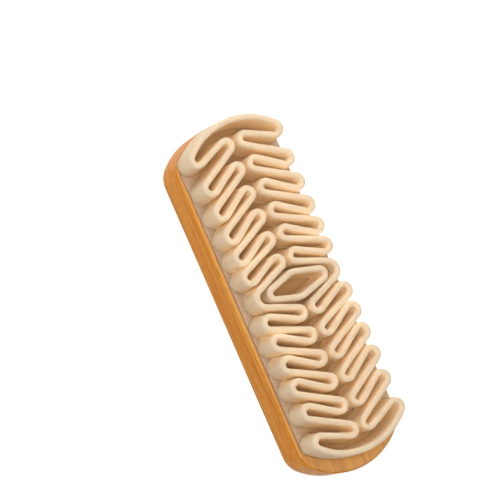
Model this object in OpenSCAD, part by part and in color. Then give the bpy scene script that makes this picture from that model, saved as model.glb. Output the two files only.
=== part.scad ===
// Suede brush: a crepe rubber insert on a flat wooden block.
// +X runs along the brush, +Z points out of the crepe, and the block's flat back is at z = 0.

/* [Wood block] */
// Length of the block
block_length = 131; // [123:1:150]
// Width of the block
block_width = 41.2; // [40:0.2:46]
// Thickness of the block
block_thickness = 15; // [8:0.5:20]
// Radius of the arched ends, seen from above
block_end_radius = 26; // [25:0.5:34]
// Radius of the corners, seen from above
block_corner_radius = 9; // [6:0.5:9]
// Bevel of the block's edges
block_arris = 0.5; // [0.2:0.1:1.5]

/* [Insert] */
// Distance that the insert sits off centre, towards -X
insert_shift = 2.5; // [0:0.1:2.5]
// Bare wood beyond the insert at each end, before the shift
end_margin = 2.7; // [2.7:0.1:5]
// Bare wood beside the insert
side_margin = 1.3; // [1.3:0.1:3]
// Thickness of the film of glue under the insert
glue_thickness = 0.2; // [0.1:0.05:0.5]
// Distance that the glue stays back from the insert's edge
glue_setback = 0.6; // [0.2:0.1:2]
// Thickness of the sheet that carries the walls
sheet_thickness = 1.3; // [0.8:0.1:2.5]

/* [Walls] */
// Height of the walls above their sheet
wall_height = 11.1; // [6:0.1:15]
// Thickness of a wall at its crest
wall_crest = 2.1; // [1.6:0.1:2.4]
// Thickness of a wall at its foot
wall_foot = 2.8; // [2.4:0.1:3]
// Bevel of a wall's two crest edges
crest_bevel = 0.4; // [0.1:0.05:0.7]

/* [Ribbon] */
// Loops of the ribbon in each quarter of the insert
loops = 6; // [5:1:6]
// Radius of the end wraps, to the middle of the wall
wrap_radius = 25; // [24:0.5:30]
// Radius of the outer turns, to the middle of the wall
turn_radius = 2.3; // [2:0.05:2.5]
// Distance that the outer turns stay back from the sheet's long edge
turn_inset = 0.45; // [0.2:0.05:1]
// Distance from the middle of the brush to the first outer turn
first_turn = 8.6; // [8:0.1:9]
// Growth of the spacing from one outer turn to the next, away from the middle
turn_growth = 0.57; // [0:0.01:0.6]
// Spacing of the first two outer turns
turn_pitch = 7.5; // [7.4:0.05:7.6]
// Spacing of the inner tips at which the outer turns have exactly the spacings above
rule_tip_pitch = 8.8; // [8.6:0.05:9]
// Radius of the inner tips, to the middle of the wall
tip_radius = 2.07; // [1.9:0.01:2.2]
// Gap between facing inner tips at the crest
tip_gap = 1.2; // [0.8:0.1:2]
// Distance from the middle of the brush to the first inner tip
first_tip = 9.45; // [9:0.05:10]
// Distance from the end wrap to the last inner tip
last_tip_setback = 8; // [7.5:0.05:8.5]
// Distance that the middle tips lean back towards the middle of the brush
tip_sag = 0.6; // [0:0.05:0.8]
// Radius of the two wide turns beside the ring, to the middle of the wall
wide_turn_radius = 3.3; // [3:0.05:3.5]
// Distance that the wide turns stay back from the sheet's long edge
wide_turn_inset = 1.65; // [1:0.05:2]

/* [Centre ring] */
// Gap between the ring's point and the wide turn, at the crest
ring_gap = 2.95; // [2:0.05:3.5]
// Half the width of the ring along the brush, to the middle of the wall
ring_half_width = 4.55; // [4:0.05:4.7]
// Radius of the ring's two points, to the middle of the wall
ring_point_radius = 2.0; // [1.8:0.05:2.2]
// Radius of the ring's two blunt sides, to the middle of the wall
ring_side_radius = 4; // [3:0.1:4.3]

/* [Hidden] */
$fn = 48;

wood_colour = "#d08a3e";
glue_colour = "#d9c98f";
crepe_colour = "#e6cba4";

// Neighbouring stretches run into each other by this much, and a bend is slimmer than the stretch that it
// meets by this much, so that no two surfaces only touch where they join
joint_overlap = 0.05;
joint_step = 0.01;

crest_half = wall_crest / 2;
foot_half = wall_foot / 2;

glue_z = block_thickness;
sheet_z = glue_z + glue_thickness;
wall_z = sheet_z + sheet_thickness;

sheet_half_length = block_length / 2 - end_margin;
sheet_half_width = block_width / 2 - side_margin;
sheet_corner_radius = turn_radius + foot_half;
sheet_end_radius = wrap_radius + foot_half;

wrap_reach = sheet_half_length - foot_half;
wrap_centre = wrap_reach - wrap_radius;
first_reach = sheet_half_width - sheet_corner_radius;
corner_turn_x = wrap_centre + sqrt(pow(wrap_radius - turn_radius, 2) - pow(first_reach, 2));
turn_reach = first_reach - turn_inset;
tip_reach = tip_gap / 2 + crest_half + tip_radius;
last_tip = wrap_reach - last_tip_setback;
tip_pitch = (last_tip - first_tip) / (loops - 1);
wide_turn_reach = sheet_half_width - foot_half - wide_turn_radius - wide_turn_inset;
ring_point_reach = wide_turn_reach + wide_turn_radius - ring_gap - wall_crest - ring_point_radius;

// The turns keep their spacing rule and stretch with the insert's length
turn_stretch = last_tip / (first_tip + rule_tip_pitch * (loops - 1));

// Each bend is [centre, radius, side]: side 1 turns left and side -1 turns right, from the end wrap inwards
function turn_x(k) = turn_stretch * (first_turn + turn_pitch * k + turn_growth * k * (k - 1) / 2);
function tip_x(k) = first_tip + tip_pitch * k - tip_sag * sin(180 * k / (loops - 1));
function tip_bend(k) = [[tip_x(k), tip_reach], tip_radius, -1];
function turn_bend(k) = [[turn_x(k), turn_reach], turn_radius, 1];
corner_bend = [[corner_turn_x, first_reach], turn_radius, 1];
wide_bend = [[0, wide_turn_reach], wide_turn_radius, 1];
ribbon_bends = concat(
    [corner_bend, tip_bend(loops - 1)],
    [for (k = [loops - 2:-1:0], bend = [turn_bend(k), tip_bend(k)]) bend],
    [wide_bend]);

// Heading of the straight wall that leaves bend a and meets bend b
function heading(a, b) =
    let (d = b[0] - a[0], k = a[2] * a[1] - b[2] * b[1])
    atan2(d.y, d.x) + asin(k / norm(d));
// Angle, about a bend's centre, of the point where a wall with this heading touches it
function touch_angle(bend, direction) = direction - 90 * bend[2];
function touch_point(bend, direction) =
    bend[0] + bend[1] * [cos(touch_angle(bend, direction)), sin(touch_angle(bend, direction))];

// Half the angle that each end wrap spans, and the headings of a quarter's straight walls
wrap_spread = atan2(first_reach, corner_turn_x - wrap_centre);
ribbon_headings = [for (i = [0:len(ribbon_bends) - 2]) heading(ribbon_bends[i], ribbon_bends[i + 1])];

// Half of a slab's section, from its middle plane out, with its outer edges bevelled
module half_section(reach, thickness, arris) {
    polygon([[0, 0], [reach - arris, 0], [reach, arris], [reach, thickness - arris],
        [reach - arris, thickness], [0, thickness]]);
}

// Flat slab with arched ends and rounded corners, on z = 0
module arched_slab(half_length, half_width, end_radius, corner_radius, thickness, arris) {
    corner_y = half_width - corner_radius;
    end_x = half_length - end_radius;
    corner_x = end_x + sqrt(pow(end_radius - corner_radius, 2) - pow(corner_y, 2));
    spread = atan2(corner_y, corner_x - end_x);
    rotate([90, 0, 90]) translate([0, 0, -corner_x]) linear_extrude(2 * corner_x)
        on_both_ends() half_section(half_width, thickness, arris);
    on_both_ends() {
        translate([end_x, 0]) intersection() {
            rotate_extrude() half_section(end_radius, thickness, arris);
            linear_extrude(thickness) polygon([[0, 0],
                2 * end_radius * [cos(spread), sin(spread)], 2 * end_radius * [cos(spread), -sin(spread)]]);
        }
        on_both_sides() translate([corner_x, corner_y])
            rotate_extrude() half_section(corner_radius - joint_step, thickness, arris);
    }
}

// Drafted wall section with a flat crest and bevelled edges
module wall_section(slim = 0) {
    crest = crest_half - slim;
    foot = foot_half - slim;
    shoulder = wall_height - crest_bevel;
    polygon([[-foot, 0], [foot, 0], [crest, shoulder], [crest - crest_bevel, wall_height],
        [crest_bevel - crest, wall_height], [-crest, shoulder]]);
}

module straight_wall(from, to) {
    run = to - from;
    translate(from) rotate([90, 0, 90 + atan2(run.y, run.x)]) translate([0, 0, -joint_overlap])
        linear_extrude(norm(run) + 2 * joint_overlap) wall_section();
}

module curved_wall(centre, radius, start, sweep, slim) {
    translate(centre) rotate(start)
        rotate_extrude(angle = sweep) translate([radius, 0]) wall_section(slim);
}

// Wall around one bend, between the headings in which the ribbon meets and leaves it
module bend_wall(bend, heading_in, heading_out) {
    sweep = ((heading_out - heading_in) * bend[2] + 720) % 360;
    first = bend[2] > 0 ? heading_in : heading_out;
    curved_wall(bend[0], bend[1], touch_angle(bend, first), sweep, joint_step);
}

// The bends and walls of one quarter, from the end wrap to the wide turn
module ribbon_quarter() {
    last = len(ribbon_bends) - 1;
    for (i = [0:last - 1]) {
        heading_in = i == 0 ? wrap_spread + 90 : ribbon_headings[i - 1];
        bend_wall(ribbon_bends[i], heading_in, ribbon_headings[i]);
        straight_wall(touch_point(ribbon_bends[i], ribbon_headings[i]),
            touch_point(ribbon_bends[i + 1], ribbon_headings[i]));
    }
}

module on_both_ends() {
    for (end = [0, 1]) mirror([end, 0]) children();
}

module on_both_sides() {
    for (side = [0, 1]) mirror([0, side]) children();
}

module on_insert(height) {
    translate([-insert_shift, 0, height]) children();
}

module wood_block() {
    color(wood_colour)
        arched_slab(block_length / 2, block_width / 2, block_end_radius, block_corner_radius,
            block_thickness, block_arris);
}

module glue_film() {
    color(glue_colour) on_insert(glue_z)
        arched_slab(sheet_half_length - glue_setback, sheet_half_width - glue_setback,
            sheet_end_radius - glue_setback, sheet_corner_radius - glue_setback, glue_thickness, 0);
}

module backing_sheet() {
    color(crepe_colour) on_insert(sheet_z)
        arched_slab(sheet_half_length, sheet_half_width, sheet_end_radius, sheet_corner_radius,
            sheet_thickness, 0);
}

module crepe_ribbon() {
    meeting = ribbon_headings[len(ribbon_headings) - 1];
    half_wrap = wrap_spread + joint_overlap / wrap_radius * 180 / PI;
    color(crepe_colour) on_insert(wall_z) {
        on_both_ends() curved_wall([wrap_centre, 0], wrap_radius, -half_wrap, 2 * half_wrap, 0);
        on_both_ends() on_both_sides() ribbon_quarter();
        on_both_sides() bend_wall(wide_bend, meeting, 360 - meeting);
    }
}

module centre_ring() {
    side = [[ring_half_width - ring_side_radius, 0], ring_side_radius, 1];
    point = [[0, ring_point_reach], ring_point_radius, 1];
    slope = heading(side, point);
    color(crepe_colour) on_insert(wall_z) {
        on_both_ends() bend_wall(side, 180 - slope, slope);
        on_both_ends() on_both_sides() straight_wall(touch_point(side, slope), touch_point(point, slope));
        on_both_sides() bend_wall(point, slope, 360 - slope);
    }
}

wood_block();
glue_film();
backing_sheet();
crepe_ribbon();
centre_ring();
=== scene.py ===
import math
import bmesh
import bpy
from mathutils import Matrix, Vector, noise


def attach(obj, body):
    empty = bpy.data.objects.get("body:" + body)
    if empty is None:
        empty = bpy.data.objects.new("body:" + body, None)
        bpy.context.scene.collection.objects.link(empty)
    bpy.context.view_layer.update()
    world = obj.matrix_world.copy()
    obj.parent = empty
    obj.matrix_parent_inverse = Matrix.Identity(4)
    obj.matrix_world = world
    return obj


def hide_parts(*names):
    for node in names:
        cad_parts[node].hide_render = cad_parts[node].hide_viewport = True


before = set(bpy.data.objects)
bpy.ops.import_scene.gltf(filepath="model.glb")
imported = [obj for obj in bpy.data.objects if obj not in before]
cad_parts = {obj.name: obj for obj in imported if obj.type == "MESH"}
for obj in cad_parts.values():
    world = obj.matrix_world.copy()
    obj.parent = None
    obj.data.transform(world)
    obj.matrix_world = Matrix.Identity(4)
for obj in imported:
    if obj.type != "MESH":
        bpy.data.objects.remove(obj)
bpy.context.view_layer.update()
mm = 0.001
up = Vector((0, 0, 1))
print("frame loaded:", ", ".join(sorted(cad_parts)))

# The photograph was taken from a long way off with a long lens, turned on its side
camera = {
    "place": (-10.16, -279.98, 659.25),
    "right": (0.40035, 0.84751, 0.34849),
    "up": (-0.91613, 0.36168, 0.17286),
    "back": (0.0205, -0.3885, 0.9212),
    "lens": 150,
}


def placeCamera():
    data = bpy.data.cameras.new("camera")
    data.lens = camera["lens"]
    data.sensor_width = 36
    data.clip_start = 0.01
    view = bpy.data.objects.new("camera", data)
    axes = [Vector(camera[key]).normalized() for key in ("right", "up", "back")]
    turn = Matrix(axes).transposed().to_4x4()
    view.matrix_world = Matrix.Translation(Vector(camera["place"]) * mm) @ turn
    bpy.context.scene.collection.objects.link(view)
    bpy.context.scene.camera = view


placeCamera()
print("camera placed")


# Small helpers for node trees
def addNode(tree, kind, **settings):
    made = tree.nodes.new(kind)
    for key, value in settings.items():
        setattr(made, key, value)
    return made


def joinNodes(tree, start, end):
    tree.links.new(start, end)


# A socket takes a plain value as it is and another node's output as a link
def feedSocket(tree, value, socket):
    if hasattr(value, "is_linked"):
        joinNodes(tree, value, socket)
    else:
        socket.default_value = value


def spread(tree, source, low, high, start=0.0, end=1.0):
    ramp = addNode(tree, "ShaderNodeMapRange", interpolation_type="SMOOTHSTEP")
    ramp.inputs["From Min"].default_value = low
    ramp.inputs["From Max"].default_value = high
    ramp.inputs["To Min"].default_value = start
    ramp.inputs["To Max"].default_value = end
    joinNodes(tree, source, ramp.inputs["Value"])
    return ramp.outputs["Result"]


def mixColours(tree, factor, first, second, way="MIX"):
    mix = addNode(tree, "ShaderNodeMix", data_type="RGBA", blend_type=way)
    for value, index in ((factor, 0), (first, 6), (second, 7)):
        feedSocket(tree, value, mix.inputs[index])
    return mix.outputs[2]


def addMaths(tree, way, first, second=0.0):
    maths = addNode(tree, "ShaderNodeMath", operation=way)
    for value, index in ((first, 0), (second, 1)):
        feedSocket(tree, value, maths.inputs[index])
    return maths.outputs[0]


def splitObjectPlace(tree, output="Object"):
    place = addNode(tree, "ShaderNodeTexCoord")
    split = addNode(tree, "ShaderNodeSeparateXYZ")
    joinNodes(tree, place.outputs[output], split.inputs["Vector"])
    return split


def stretchedNoise(tree, scale, detail, roughness, distortion=0.0):
    place = addNode(tree, "ShaderNodeTexCoord")
    mapping = addNode(tree, "ShaderNodeMapping")
    mapping.inputs["Scale"].default_value = scale
    joinNodes(tree, place.outputs["Object"], mapping.inputs["Vector"])
    grain = addNode(tree, "ShaderNodeTexNoise")
    grain.inputs["Scale"].default_value = 1.0
    grain.inputs["Detail"].default_value = detail
    grain.inputs["Roughness"].default_value = roughness
    grain.inputs["Distortion"].default_value = distortion
    joinNodes(tree, mapping.outputs["Vector"], grain.inputs["Vector"])
    return grain.outputs["Fac"]


# A noise that shows only where it rises past its low level, and fully past its high one
def fadedNoise(tree, pattern):
    shape = [pattern[key] for key in ("scale", "detail", "roughness", "distortion")]
    return spread(tree, stretchedNoise(tree, *shape), pattern["low"], pattern["high"])


# Every surface group takes colours and strengths, and puts out a colour, a roughness and a height
def startGroup(name, colours, strengths):
    group = bpy.data.node_groups.new(name, "ShaderNodeTree")
    for title in colours:
        group.interface.new_socket(name=title, socket_type="NodeSocketColor", in_out="INPUT")
    for title in strengths:
        group.interface.new_socket(name=title, socket_type="NodeSocketFloat", in_out="INPUT")
    group.interface.new_socket(name="Color", socket_type="NodeSocketColor", in_out="OUTPUT")
    for title in ("Roughness", "Height"):
        group.interface.new_socket(name=title, socket_type="NodeSocketFloat", in_out="OUTPUT")
    return group, addNode(group, "NodeGroupInput"), addNode(group, "NodeGroupOutput")


# The tree's heart lies outside the block, at this place across it and below its back, in millimetres
ringPattern = {"heartY": 14, "heartZ": -46, "spacing": 2.1, "drift": 0.05, "wander": 5.0, "detail": 2.0,
               "detailScale": 0.6, "low": 0.45, "high": 1.0}

# Noises in cells per metre, far longer along the block than across it
grainPatterns = {
    "bands": {"scale": (7, 210, 150), "detail": 2.0, "roughness": 0.5, "distortion": 0.6,
              "low": 0.35, "high": 0.68},
    "streaks": {"scale": (28, 900, 900), "detail": 3.0, "roughness": 0.6, "distortion": 0.3,
                "low": 0.46, "high": 0.68},
    "flecks": {"scale": (90, 1500, 1500), "detail": 2.0, "roughness": 0.5, "distortion": 0,
               "low": 0.58, "high": 0.74},
    "pores": {"scale": (260, 3400, 3400), "detail": 1.0, "roughness": 0.4, "distortion": 0,
              "low": 0.56, "high": 0.68},
}
grainEffect = {"fleckShare": 0.35, "sideFacing": 0.35, "endFacing": 0.9, "endShare": 0.25,
               "smooth": 0.36, "rough": 0.46, "poreRough": 0.2, "streakDepth": -0.35}


# Growth rings about the heart: long lines on the sides and arcs on the ends
def ringLines(tree, pattern):
    place = addNode(tree, "ShaderNodeTexCoord")
    mapping = addNode(tree, "ShaderNodeMapping")
    mapping.inputs["Location"].default_value = (0, -pattern["heartY"] * mm, -pattern["heartZ"] * mm)
    mapping.inputs["Scale"].default_value = (pattern["drift"], 1, 1)
    joinNodes(tree, place.outputs["Object"], mapping.inputs["Vector"])
    rings = addNode(tree, "ShaderNodeTexWave", wave_type="RINGS", rings_direction="X", wave_profile="SAW")
    waveLength = math.tau / 20  # of the node's own wave at a scale of 1
    rings.inputs["Scale"].default_value = waveLength / (pattern["spacing"] * mm)
    rings.inputs["Distortion"].default_value = pattern["wander"]
    rings.inputs["Detail"].default_value = pattern["detail"]
    rings.inputs["Detail Scale"].default_value = pattern["detailScale"]
    joinNodes(tree, mapping.outputs["Vector"], rings.inputs["Vector"])
    return spread(tree, rings.outputs["Fac"], pattern["low"], pattern["high"])


# Long wood grain: broad bands, growth rings, fine streaks, pale flecks and short open pores, which all run
# along the block
def makeWoodGrain():
    group, given, out = startGroup("longWoodGrain", ["Light", "Base", "Dark"],
                                   ["Band Strength", "Ring Strength", "Streak Strength", "Pore Strength"])
    effect = grainEffect
    facing = splitObjectPlace(group, "Normal")
    alongSide = spread(group, addMaths(group, "ABSOLUTE", facing.outputs["X"]), effect["sideFacing"],
                       effect["endFacing"], 1.0, effect["endShare"])
    bands = fadedNoise(group, grainPatterns["bands"])
    rings = ringLines(group, ringPattern)
    streaks = addMaths(group, "MULTIPLY", fadedNoise(group, grainPatterns["streaks"]), alongSide)
    flecks = addMaths(group, "MULTIPLY", fadedNoise(group, grainPatterns["flecks"]), effect["fleckShare"])
    flecks = addMaths(group, "MULTIPLY", flecks, alongSide)
    pores = fadedNoise(group, grainPatterns["pores"])
    pores = addMaths(group, "MULTIPLY", pores, given.outputs["Pore Strength"])
    colour = mixColours(group, addMaths(group, "MULTIPLY", bands, given.outputs["Band Strength"]),
                        given.outputs["Base"], given.outputs["Light"])
    for mask, strength in ((rings, "Ring Strength"), (streaks, "Streak Strength")):
        share = addMaths(group, "MULTIPLY", mask, given.outputs[strength])
        colour = mixColours(group, share, colour, given.outputs["Dark"])
    colour = mixColours(group, flecks, colour, given.outputs["Light"])
    colour = mixColours(group, pores, colour, given.outputs["Dark"])
    joinNodes(group, colour, out.inputs["Color"])
    rough = addMaths(group, "ADD", spread(group, streaks, 0.0, 1.0, effect["smooth"], effect["rough"]),
                     addMaths(group, "MULTIPLY", pores, effect["poreRough"]))
    joinNodes(group, rough, out.inputs["Roughness"])
    height = addMaths(group, "SUBTRACT", addMaths(group, "MULTIPLY", streaks, effect["streakDepth"]), pores)
    joinNodes(group, height, out.inputs["Height"])
    return group


crepePatterns = {
    "clouds": {"scale": (120, 120, 120), "detail": 3.0, "roughness": 0.55, "distortion": 0.4,
               "low": 0.40, "high": 0.75},
    "skin": {"scale": (1900, 1900, 1900), "detail": 3.0, "roughness": 0.6},
}
crepeEffect = {"cloudShare": 0.30, "smooth": 0.50, "rough": 0.62}


# Moulded crepe rubber: two tones that a mask mixes, a plain one and a painted shade one, soft clouds in the
# colour, and a faint skin texture
def makeCloudyCrepe():
    group, given, out = startGroup("cloudyCrepe", ["Pale", "Shaded Tone", "Cloud"], ["Paleness"])
    colour = mixColours(group, given.outputs["Paleness"], given.outputs["Shaded Tone"], given.outputs["Pale"])
    clouds = fadedNoise(group, crepePatterns["clouds"])
    share = addMaths(group, "MULTIPLY", clouds, crepeEffect["cloudShare"])
    colour = mixColours(group, share, colour, given.outputs["Cloud"], "MULTIPLY")
    joinNodes(group, colour, out.inputs["Color"])
    rough = spread(group, clouds, 0.0, 1.0, crepeEffect["smooth"], crepeEffect["rough"])
    joinNodes(group, rough, out.inputs["Roughness"])
    joinNodes(group, stretchedNoise(group, **crepePatterns["skin"]), out.inputs["Height"])
    return group


woodGrain = makeWoodGrain()
cloudyCrepe = makeCloudyCrepe()


def startMaterial(name):
    material = bpy.data.materials.new(name)
    material.use_nodes = True
    tree = material.node_tree
    tree.nodes.clear()
    out = addNode(tree, "ShaderNodeOutputMaterial")
    surface = addNode(tree, "ShaderNodeBsdfPrincipled")
    joinNodes(tree, surface.outputs["BSDF"], out.inputs["Surface"])
    return material, tree, surface


def placeGroup(tree, group, values):
    made = addNode(tree, "ShaderNodeGroup", node_tree=group)
    for key, value in values.items():
        made.inputs[key].default_value = value
    return made


def addBump(tree, height, surface, strength, distance):
    bump = addNode(tree, "ShaderNodeBump")
    bump.inputs["Strength"].default_value = strength
    bump.inputs["Distance"].default_value = distance
    joinNodes(tree, height, bump.inputs["Height"])
    joinNodes(tree, bump.outputs["Normal"], surface.inputs["Normal"])


# The tones fade from the painted shade tone to the pale one between two places on one axis, in millimetres,
# and light travels as far as the glow. On the walls the shade tone is painted warm shade, more orange towards
# the foot in the slots' depths
wallRubber = {
    "tones": {"Pale": (0.87, 0.69, 0.47, 1), "Shaded Tone": (0.92, 0.695, 0.425, 1), "Cloud": (0.98, 0.93, 0.84, 1)},
    "axis": "Z", "low": 18.0, "high": 27.0, "glow": 5.0,
}
# The sheet is painted darker than the walls, painted shade under the walls that stand over it, and darker
# again towards its middle, painted shade in the pockets between the tips
sheetRubber = {
    "tones": {"Pale": (0.66, 0.45, 0.30, 1), "Shaded Tone": (0.58, 0.33, 0.13, 1), "Cloud": (0.95, 0.88, 0.75, 1)},
    "axis": "Y", "low": 13, "high": 18.5, "glow": 1.5,
}


# Light soaks into the rubber and comes out again nearby, so the thin walls glow in their slots
def makeCrepeMaterial(name, rubber):
    material, tree, surface = startMaterial(name)
    crepe = placeGroup(tree, cloudyCrepe, rubber["tones"])
    # The mask paints shade by place: the shade tone grows towards the walls' feet and towards the sheet's
    # middle
    where = addMaths(tree, "ABSOLUTE", splitObjectPlace(tree).outputs[rubber["axis"]])
    joinNodes(tree, spread(tree, where, rubber["low"] * mm, rubber["high"] * mm), crepe.inputs["Paleness"])
    joinNodes(tree, crepe.outputs["Color"], surface.inputs["Base Color"])
    joinNodes(tree, crepe.outputs["Roughness"], surface.inputs["Roughness"])
    addBump(tree, crepe.outputs["Height"], surface, 0.25, 0.03 * mm)
    surface.subsurface_method = "BURLEY"
    surface.inputs["Specular IOR Level"].default_value = 0.35
    surface.inputs["Subsurface Weight"].default_value = 1.0
    surface.inputs["Subsurface Radius"].default_value = (1.0, 0.85, 0.7)
    surface.inputs["Subsurface Scale"].default_value = rubber["glow"] * mm
    return material


woodFinish = {
    "sides": {"Light": (1.0, 0.50, 0.07, 1), "Base": (1.0, 0.37, 0.02, 1), "Dark": (0.66, 0.17, 0.005, 1),
              "Band Strength": 0.8, "Ring Strength": 0.4, "Streak Strength": 0.75, "Pore Strength": 0.75},
    "back": {"Light": (0.87, 0.70, 0.49, 1), "Base": (0.80, 0.59, 0.37, 1), "Dark": (0.55, 0.33, 0.16, 1),
             "Band Strength": 0.8, "Ring Strength": 0.25, "Streak Strength": 0.22, "Pore Strength": 0.45},
    # The rim keys give the painted highlight on the top face and its rounded arris: its heights in
    # millimetres, its colour and its share
    "sideFrom": 0.02, "sideTo": 0.7, "rimFrom": 14.6, "rimTo": 14.98,
    "rimHighlightColour": (1.0, 0.76, 0.42, 1), "rimHighlightShare": 0.3, "endTint": (0.74, 0.62, 0.52, 1), "endShare": 0.75,
}


# The flat back is sanded pale, the sides took the varnish deepest, the rim round the rubber is painted
# lighter as a painted highlight on the top face and its rounded arris, and the end grain is a little darker
def makeWoodMaterial():
    finish = woodFinish
    material, tree, surface = startMaterial("varnishedWood")
    sides = placeGroup(tree, woodGrain, finish["sides"])
    back = placeGroup(tree, woodGrain, finish["back"])
    height = splitObjectPlace(tree).outputs["Z"]
    onSide = spread(tree, height, finish["sideFrom"] * mm, finish["sideTo"] * mm)
    colour = mixColours(tree, onSide, back.outputs["Color"], sides.outputs["Color"])
    # Painted highlight: the top face and its rounded arris are painted lighter, where the light falls on them
    paintedRimHighlight = spread(tree, height, finish["rimFrom"] * mm, finish["rimTo"] * mm, 0.0, finish["rimHighlightShare"])
    colour = mixColours(tree, paintedRimHighlight, colour, finish["rimHighlightColour"])
    facing = addMaths(tree, "ABSOLUTE", splitObjectPlace(tree, "Normal").outputs["X"])
    endGrain = addMaths(tree, "POWER", facing, 3.0)
    endColour = mixColours(tree, 1.0, colour, finish["endTint"], "MULTIPLY")
    colour = mixColours(tree, addMaths(tree, "MULTIPLY", endGrain, finish["endShare"]), colour, endColour)
    joinNodes(tree, colour, surface.inputs["Base Color"])
    joinNodes(tree, sides.outputs["Roughness"], surface.inputs["Roughness"])
    addBump(tree, sides.outputs["Height"], surface, 0.35, 0.05 * mm)
    surface.inputs["Specular IOR Level"].default_value = 0.05
    return material


glueFinish = {
    "dull": (0.62, 0.50, 0.30, 1), "bright": (0.70, 0.60, 0.40, 1), "smooth": 0.25, "rough": 0.4,
    "clouds": {"scale": (160, 160, 160), "detail": 3.0, "roughness": 0.6, "distortion": 0,
               "low": 0.35, "high": 0.7},
}


def makeGlueMaterial():
    material, tree, surface = startMaterial("driedGlue")
    clouds = fadedNoise(tree, glueFinish["clouds"])
    colour = mixColours(tree, clouds, glueFinish["dull"], glueFinish["bright"])
    joinNodes(tree, colour, surface.inputs["Base Color"])
    rough = spread(tree, clouds, 0.0, 1.0, glueFinish["smooth"], glueFinish["rough"])
    joinNodes(tree, rough, surface.inputs["Roughness"])
    return material


crepeMaterial = makeCrepeMaterial("crepeRubber", wallRubber)
sheetMaterial = makeCrepeMaterial("crepeSheetRubber", sheetRubber)
woodMaterial = makeWoodMaterial()
glueMaterial = makeGlueMaterial()
print("materials made")


mergeGap = 0.002  # in millimetres, between corners that are one
levelGap = 0.001  # in millimetres, between heights that are one


def atLevel(v, z):
    return abs(v.co.z - z) < levelGap


def cornerOrder(part):
    return sorted(v.index for v in part.verts)


# Bevelling and merging leave corners and faces in an order that differs from run to run
def settleOrder(bm):
    for parts, key in ((bm.verts, lambda v: v.co[:]), (bm.edges, cornerOrder), (bm.faces, cornerOrder)):
        for place, part in enumerate(sorted(parts, key=key)):
            part.index = place
        parts.sort()


# Small helpers for pieces, which are all drawn in millimetres and shrunk at the end
def endPiece(name, bm, material, node):
    bmesh.ops.remove_doubles(bm, verts=bm.verts, dist=mergeGap)
    bmesh.ops.recalc_face_normals(bm, faces=bm.faces)
    bmesh.ops.scale(bm, vec=(mm, mm, mm), verts=bm.verts)
    settleOrder(bm)
    mesh = bpy.data.meshes.new(name)
    bm.to_mesh(mesh)
    bm.free()
    mesh.shade_smooth()
    mesh.materials.append(material)
    piece = bpy.data.objects.new(name, mesh)
    bpy.context.scene.collection.objects.link(piece)
    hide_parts(node)
    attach(piece, "root")
    print(name, "made with", sum(len(p.vertices) - 2 for p in mesh.polygons), "triangles")
    return piece


def edgesAmong(verts):
    inside = set(verts)
    return list(dict.fromkeys(e for v in verts for e in v.link_edges if e.other_vert(v) in inside))


def turnVertices(bm, verts, centre, degrees, steps):
    made = bmesh.ops.spin(bm, geom=list(verts) + edgesAmong(verts), cent=centre, axis=up,
                          angle=math.radians(degrees), steps=steps, use_merge=False, use_duplicate=False)
    return [g for g in made["geom_last"] if isinstance(g, bmesh.types.BMVert)]


def pullVertices(bm, verts, move, steps):
    for step in range(steps):
        edges = edgesAmong(verts)
        if edges:
            made = bmesh.ops.extrude_edge_only(bm, edges=edges)
            verts = [g for g in made["geom"] if isinstance(g, bmesh.types.BMVert)]
        else:
            verts = bmesh.ops.extrude_vert_indiv(bm, verts=verts)["verts"]
        bmesh.ops.translate(bm, verts=verts, vec=Vector(move) / steps)
    return verts


slabSteps = {"corner": 14, "end": 36, "rounding": 4}


# A flat slab with arched ends and rounded corners, the form of both the wood and the sheet
def makeSlab(size):
    bm = bmesh.new()
    cornerY = size["halfWidth"] - size["cornerRadius"]
    endX = size["halfLength"] - size["endRadius"]
    cornerX = endX + math.sqrt((size["endRadius"] - size["cornerRadius"]) ** 2 - cornerY ** 2)
    fan = math.degrees(math.atan2(cornerY, cornerX - endX))
    tip = [bm.verts.new((cornerX, -size["halfWidth"], size["low"]))]
    for side in (1, -1):
        tip = turnVertices(bm, tip, (side * cornerX, -side * cornerY, 0), 90 - fan, slabSteps["corner"])
        tip = turnVertices(bm, tip, (side * endX, 0, 0), 2 * fan, slabSteps["end"])
        tip = turnVertices(bm, tip, (side * cornerX, side * cornerY, 0), 90 - fan, slabSteps["corner"])
        tip = pullVertices(bm, tip, (-2 * side * cornerX, 0, 0), 1)
    bmesh.ops.remove_doubles(bm, verts=bm.verts, dist=mergeGap)
    bmesh.ops.contextual_create(bm, geom=bm.edges[:])
    raised = bmesh.ops.extrude_face_region(bm, geom=bm.faces[:])["geom"]
    top = [g for g in raised if isinstance(g, bmesh.types.BMVert)]
    bmesh.ops.translate(bm, verts=top, vec=(0, 0, size["high"] - size["low"]))
    bmesh.ops.recalc_face_normals(bm, faces=bm.faces)
    bm.normal_update()
    for z, rounding in ((size["low"], size["lowRounding"]), (size["high"], size["highRounding"])):
        if rounding > 0:
            rim = [e for e in bm.edges if all(atLevel(v, z) for v in e.verts)]
            bmesh.ops.bevel(bm, geom=rim, offset=rounding, segments=slabSteps["rounding"], profile=0.5,
                            affect="EDGES", material=-1)
    bmesh.ops.translate(bm, verts=bm.verts, vec=(size["shift"], 0, 0))
    return bm


# Large faces keep their own shading, and only the rounded rims shade softly
def keepFlatsFlat(piece):
    weighted = piece.modifiers.new("flatFaces", "WEIGHTED_NORMAL")
    weighted.mode = "FACE_AREA"
    weighted.weight = 100
    weighted.keep_sharp = True


block = {"halfLength": 65.5, "halfWidth": 20.6, "endRadius": 26, "cornerRadius": 9,
         "low": 0, "high": 15, "lowRounding": 0.6, "highRounding": 1.0, "shift": 0}
keepFlatsFlat(endPiece("woodBlock", makeSlab(block), woodMaterial, "wood_block"))

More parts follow.
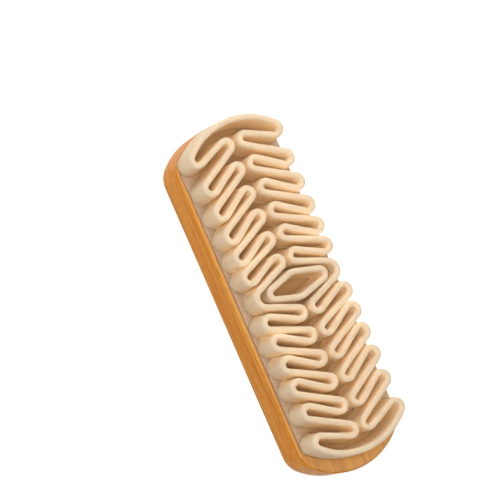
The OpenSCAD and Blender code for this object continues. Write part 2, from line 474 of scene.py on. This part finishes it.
sheet = {"halfLength": 62.8, "halfWidth": 19.3, "endRadius": 26.4, "cornerRadius": 3.7,
         "low": 15.2, "high": 16.5, "lowRounding": 0, "highRounding": 0.35, "shift": -2.5}
keepFlatsFlat(endPiece("crepeSheet", makeSlab(sheet), sheetMaterial, "backing_sheet"))

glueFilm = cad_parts["glue_film"]
glueFilm.data.materials.clear()
glueFilm.data.materials.append(glueMaterial)


# The wall's foot and crest are half widths, and it starts a little inside the sheet
wall = {"foot": 1.4, "crest": 1.05, "low": 16.2, "sheetTop": 16.5, "top": 27.6, "rounding": 0.8,
        "roundingSteps": 5, "flare": 0.35, "flareHeight": 0.6, "shift": -2.5}

ribbon = {"loops": 6, "wrapRadius": 25, "wrapCentre": 36.4, "turnRadius": 2.3, "firstReach": 15.6,
          "turnReach": 15.15, "firstTurn": 8.6, "turnPitch": 7.5, "turnGrowth": 0.57,
          "tipRadius": 2.07, "tipReach": 3.72, "firstTip": 9.45, "tipPitch": 8.8, "lastTip": 53.4,
          "tipSag": 0.6, "wideRadius": 3.3, "wideReach": 12.95}

ring = {"halfWidth": 4.55, "sideRadius": 4, "pointReach": 9.2, "pointRadius": 2.0}


# Bends are (centre x, centre y, radius, side), and side 1 turns left
def ribbonBends():
    r = ribbon
    last = r["loops"] - 1
    pitch = (r["lastTip"] - r["firstTip"]) / last
    stretch = r["lastTip"] / (r["firstTip"] + r["tipPitch"] * last)
    reach = math.sqrt((r["wrapRadius"] - r["turnRadius"]) ** 2 - r["firstReach"] ** 2)
    quarter = [(r["wrapCentre"] + reach, r["firstReach"], r["turnRadius"], 1)]
    for k in range(last, -1, -1):
        if k < last:
            turnX = stretch * (r["firstTurn"] + r["turnPitch"] * k + r["turnGrowth"] * k * (k - 1) / 2)
            quarter.append((turnX, r["turnReach"], r["turnRadius"], 1))
        tipX = r["firstTip"] + pitch * k - r["tipSag"] * math.sin(math.pi * k / last)
        quarter.append((tipX, r["tipReach"], r["tipRadius"], -1))
    half = quarter + [(0, r["wideReach"], r["wideRadius"], 1)]
    half += [(-x, y, radius, side) for x, y, radius, side in reversed(quarter)]
    half += [(-r["wrapCentre"], 0, r["wrapRadius"], 1)]
    return half + [(-x, -y, radius, side) for x, y, radius, side in half]


def ringBends():
    side = (ring["halfWidth"] - ring["sideRadius"], 0, ring["sideRadius"], 1)
    point = (0, ring["pointReach"], ring["pointRadius"], 1)
    return [side, point] + [(-x, -y, radius, turn) for x, y, radius, turn in (side, point)]


# The direction of the straight wall that runs from one bend to the next, in degrees
def headingBetween(a, b):
    dx, dy = b[0] - a[0], b[1] - a[1]
    ratio = (a[3] * a[2] - b[3] * b[2]) / math.hypot(dx, dy)
    return math.degrees(math.atan2(dy, dx) + math.asin(max(-1, min(1, ratio))))


def touchPoint(bend, heading):
    angle = math.radians(heading - 90 * bend[3])
    return Vector((bend[0] + bend[2] * math.cos(angle), bend[1] + bend[2] * math.sin(angle), 0))


# One upright section of the wall, as a closed line of edges across the path
def drawSection(bm, place, heading):
    left = Vector((-math.sin(math.radians(heading)), math.cos(math.radians(heading)), 0))
    w = wall
    slope = (w["foot"] - w["crest"]) / (w["top"] - w["sheetTop"])
    flareTop = w["foot"] - slope * w["flareHeight"]
    flareZ = w["sheetTop"] + w["flareHeight"]
    half = [(w["foot"] + w["flare"], w["low"]), (w["foot"] + w["flare"], w["sheetTop"]),
            (flareTop + 0.25 * w["flare"], w["sheetTop"] + 0.35 * w["flareHeight"]), (flareTop, flareZ)]
    for share in (0.3, 0.6, 0.85):
        z = flareZ + share * (w["top"] - flareZ)
        half.append((w["foot"] - slope * (z - w["sheetTop"]), z))
    half.append((w["crest"], w["top"]))
    points = half + [(-u, z) for u, z in reversed(half)]
    verts = [bm.verts.new(place + left * u + up * z) for u, z in points]
    face = bm.faces.new(verts)
    corners = [v for v in face.verts if atLevel(v, w["top"])]
    bmesh.ops.bevel(bm, geom=corners, offset=w["rounding"], segments=w["roundingSteps"], profile=0.5,
                    affect="VERTICES", material=-1)
    crest = [e for e in bm.edges if all(atLevel(v, w["top"]) for v in e.verts)]
    bmesh.ops.subdivide_edges(bm, edges=crest, cuts=1)
    bmesh.ops.delete(bm, geom=bm.faces[:], context="FACES_ONLY")
    return bm.verts[:]


# A bend wider than the wide radius takes finer steps, in degrees, and a run's steps are in millimetres
sweepSteps = {"wideRadius": 10, "wideBend": 3, "bend": 9, "fewest": 3, "run": 3, "shortest": 0.01,
              "seam": 0.02}


# Follow half of the path, with a spin at each bend and a pull along each straight wall, then turn a copy
# half way round for the other half
def sweepWall(bends):
    bm = bmesh.new()
    count = len(bends)
    headings = [headingBetween(bends[i], bends[(i + 1) % count]) for i in range(count)]
    section = drawSection(bm, touchPoint(bends[0], headings[-1]), headings[-1])
    for i, bend in enumerate(bends[:count // 2]):
        sweep = ((headings[i] - headings[i - 1]) * bend[3]) % 360
        degrees = sweepSteps["wideBend"] if bend[2] > sweepSteps["wideRadius"] else sweepSteps["bend"]
        steps = max(sweepSteps["fewest"], round(sweep / degrees))
        section = turnVertices(bm, section, (bend[0], bend[1], 0), sweep * bend[3], steps)
        run = touchPoint(bends[i + 1], headings[i]) - touchPoint(bend, headings[i])
        if run.length > sweepSteps["shortest"]:
            section = pullVertices(bm, section, run, max(1, round(run.length / sweepSteps["run"])))
    copied = bmesh.ops.duplicate(bm, geom=bm.verts[:] + bm.edges[:] + bm.faces[:])
    turned = [g for g in copied["geom"] if isinstance(g, bmesh.types.BMVert)]
    bmesh.ops.rotate(bm, verts=turned, cent=(0, 0, 0), matrix=Matrix.Rotation(math.pi, 3, "Z"))
    bmesh.ops.remove_doubles(bm, verts=bm.verts, dist=sweepSteps["seam"])
    return bm


wobble = {"seed": 7, "fineness": 0.16, "sideways": 0.16, "down": 0.10}


# The rubber isn't quite straight: its crests wander a little, its feet stay on the sheet, and nothing stands
# out past the sheet's outline
def softenWall(bm, halfLength, halfWidth, endRadius):
    noise.seed_set(wobble["seed"])  # without it the wandering differs from run to run
    for v in bm.verts:
        lift = max(0.0, (v.co.z - wall["sheetTop"]) / (wall["top"] - wall["sheetTop"]))
        drift = noise.noise_vector(Vector((v.co.x, v.co.y, 0)) * wobble["fineness"])
        v.co.x += drift.x * wobble["sideways"] * lift
        v.co.y += drift.y * wobble["sideways"] * lift
        v.co.z -= abs(drift.z) * wobble["down"] * lift
        v.co.y = max(-halfWidth, min(halfWidth, v.co.y))
        centre = math.copysign(halfLength - endRadius, v.co.x)
        out = Vector((v.co.x - centre, v.co.y))
        if (v.co.x - centre) * centre > 0 and out.length > endRadius:
            out = out.normalized() * endRadius
            v.co.x = centre + out.x
            v.co.y = out.y
    bmesh.ops.translate(bm, verts=bm.verts, vec=(wall["shift"], 0, 0))


def makeWall(name, bends, node):
    bm = sweepWall(bends)
    softenWall(bm, sheet["halfLength"], sheet["halfWidth"], sheet["endRadius"])
    endPiece(name, bm, crepeMaterial, node)


makeWall("crepeRibbon", ribbonBends(), "crepe_ribbon")
makeWall("crepeRing", ringBends(), "centre_ring")


# Rays that meet a plain white studio: straight from the camera, mirrored, or through something clear
def straightRays(tree):
    seen = addNode(tree, "ShaderNodeLightPath")
    carried = addMaths(tree, "MAXIMUM", seen.outputs["Is Glossy Ray"], seen.outputs["Is Transmission Ray"])
    return addMaths(tree, "MAXIMUM", seen.outputs["Is Camera Ray"], carried)


# The floor lies a hair under the block's back, and its own light lifts it to white for the camera
studioFloor = {"half": 3, "drop": 0.05, "grey": 0.86, "light": 0.60}


# A plain pale floor that shows white to the camera and still takes a soft shadow
def makeFloor():
    bm = bmesh.new()
    bmesh.ops.create_grid(bm, x_segments=1, y_segments=1, size=studioFloor["half"])
    bmesh.ops.translate(bm, verts=bm.verts, vec=(0, 0, -studioFloor["drop"] * mm))
    mesh = bpy.data.meshes.new("floor")
    bm.to_mesh(mesh)
    bm.free()
    floor = bpy.data.objects.new("floor", mesh)
    bpy.context.scene.collection.objects.link(floor)
    material, tree, surface = startMaterial("paleFloor")
    surface.inputs["Base Color"].default_value = (*[studioFloor["grey"]] * 3, 1)
    surface.inputs["Roughness"].default_value = 0.9
    surface.inputs["Specular IOR Level"].default_value = 0.0
    surface.inputs["Emission Color"].default_value = (1, 1, 1, 1)
    glow = addMaths(tree, "MULTIPLY", straightRays(tree), studioFloor["light"])
    joinNodes(tree, glow, surface.inputs["Emission Strength"])
    mesh.materials.append(material)


# Lamps are placed in metres and aim at the middle of the brush
lights = {
    "world": 0.15,
    "lamps": [
        {"name": "frontSoftbox", "place": (0.02, -0.33, 0.78), "size": 0.4, "power": 2.9},
        {"name": "endSoftbox", "place": (-0.40, 0.05, 0.42), "size": 0.35, "power": 1.5},
        {"name": "rightSoftbox", "place": (-0.05, 0.58, 0.60), "size": 0.4, "power": 1.0},
    ],
}


def makeWorld():
    world = bpy.data.worlds.new("studio")
    bpy.context.scene.world = world
    world.use_nodes = True
    tree = world.node_tree
    tree.nodes.clear()
    out = addNode(tree, "ShaderNodeOutputWorld")
    soft = addNode(tree, "ShaderNodeBackground")
    soft.inputs["Color"].default_value = (1.0, 0.985, 0.96, 1)
    soft.inputs["Strength"].default_value = lights["world"]
    plain = addNode(tree, "ShaderNodeBackground")
    plain.inputs["Strength"].default_value = 1.0
    mix = addNode(tree, "ShaderNodeMixShader")
    joinNodes(tree, straightRays(tree), mix.inputs[0])
    joinNodes(tree, soft.outputs[0], mix.inputs[1])
    joinNodes(tree, plain.outputs[0], mix.inputs[2])
    joinNodes(tree, mix.outputs[0], out.inputs["Surface"])


def makeLamps():
    for lamp in lights["lamps"]:
        data = bpy.data.lights.new(lamp["name"], "AREA")
        data.size = lamp["size"]
        data.energy = lamp["power"]
        made = bpy.data.objects.new(lamp["name"], data)
        made.location = lamp["place"]
        made.rotation_euler = (-Vector(lamp["place"])).to_track_quat("-Z", "Y").to_euler()
        bpy.context.scene.collection.objects.link(made)


makeFloor()
makeWorld()
makeLamps()
bpy.context.scene.view_settings.view_transform = "Standard"
print("stage and lights made")
